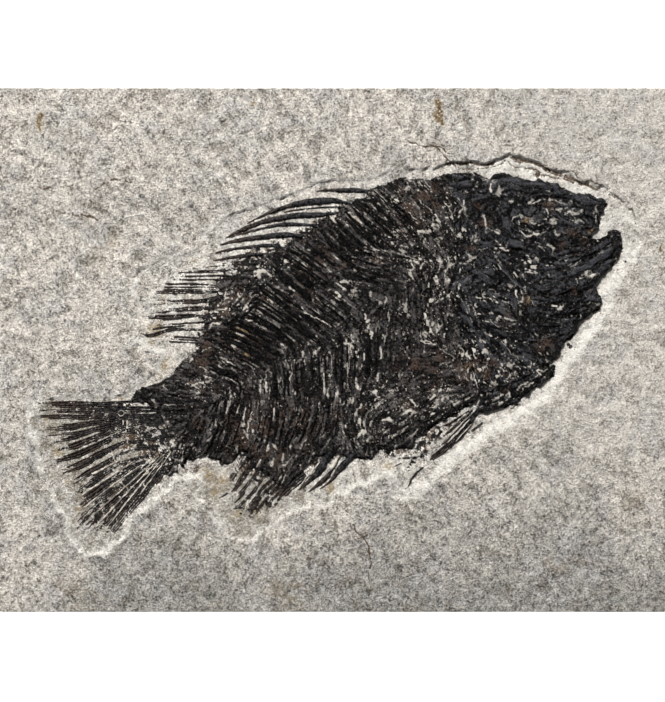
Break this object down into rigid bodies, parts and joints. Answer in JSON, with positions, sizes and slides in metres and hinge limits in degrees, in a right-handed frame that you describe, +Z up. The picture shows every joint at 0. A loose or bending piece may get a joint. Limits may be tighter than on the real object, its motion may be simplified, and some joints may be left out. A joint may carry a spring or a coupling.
{
  "type": "fossil fish slab",
  "caption": "Prepared spiny-finned fossil fish, dark brown-black bone in a shallow trough worked round it in a slab of pale limestone, lying flat.",
  "frame": {"origin": "middle of the slab's flat underside", "axes": "+Z up, out of the fossil face; +X from tail to snout; +Y towards the fish's back"},
  "size_m": [0.172, 0.131, 0.0133],
  "materials": {
    "limestone": "matt, finely pitted, mottled warm beige to grey",
    "skull_bone": "semi-gloss black-brown fossil bone",
    "fin_bone": "satin black-brown fossil fin rays",
    "body_film": "satin black-brown film of scales, ribs and vertebrae with pale flecks of stone"
  },
  "bodies": {
    "root": {"limestone_slab": "limestone", "trunk": "body_film", "skull": "skull_bone", "cheek_plate": "skull_bone", "gill_cover": "skull_bone", "lower_jaw": "skull_bone", "throat_bones": "skull_bone", "pelvic_girdle": "skull_bone", "dorsal_spine_1": "fin_bone", "dorsal_spine_2": "fin_bone", "dorsal_spine_3": "fin_bone", "dorsal_spine_4": "fin_bone", "dorsal_spine_5": "fin_bone", "dorsal_spine_6": "fin_bone", "dorsal_spine_7": "fin_bone", "dorsal_spine_8": "fin_bone", "soft_dorsal_ray_1": "fin_bone", "soft_dorsal_ray_2": "fin_bone", "soft_dorsal_ray_3": "fin_bone", "soft_dorsal_ray_4": "fin_bone", "soft_dorsal_ray_5": "fin_bone", "soft_dorsal_ray_6": "fin_bone", "soft_dorsal_ray_7": "fin_bone", "soft_dorsal_ray_8": "fin_bone", "soft_dorsal_ray_9": "fin_bone", "soft_dorsal_ray_10": "fin_bone", "soft_dorsal_ray_11": "fin_bone", "anal_spine_1": "fin_bone", "anal_spine_2": "fin_bone", "anal_spine_3": "fin_bone", "anal_ray_1": "fin_bone", "anal_ray_2": "fin_bone", "anal_ray_3": "fin_bone", "anal_ray_4": "fin_bone", "anal_ray_5": "fin_bone", "anal_ray_6": "fin_bone", "anal_ray_7": "fin_bone", "anal_ray_8": "fin_bone", "tail_ray_1": "fin_bone", "tail_ray_2": "fin_bone", "tail_ray_3": "fin_bone", "tail_ray_4": "fin_bone", "tail_ray_5": "fin_bone", "tail_ray_6": "fin_bone", "tail_ray_7": "fin_bone", "tail_ray_8": "fin_bone", "tail_ray_9": "fin_bone", "tail_ray_10": "fin_bone", "tail_ray_11": "fin_bone", "tail_ray_12": "fin_bone", "tail_ray_13": "fin_bone", "tail_ray_14": "fin_bone", "tail_ray_15": "fin_bone", "tail_ray_16": "fin_bone", "tail_ray_17": "fin_bone", "pelvic_ray_1": "fin_bone", "pelvic_ray_2": "fin_bone", "pelvic_ray_3": "fin_bone", "pelvic_spine": "fin_bone"}
  },
  "joints": []
}
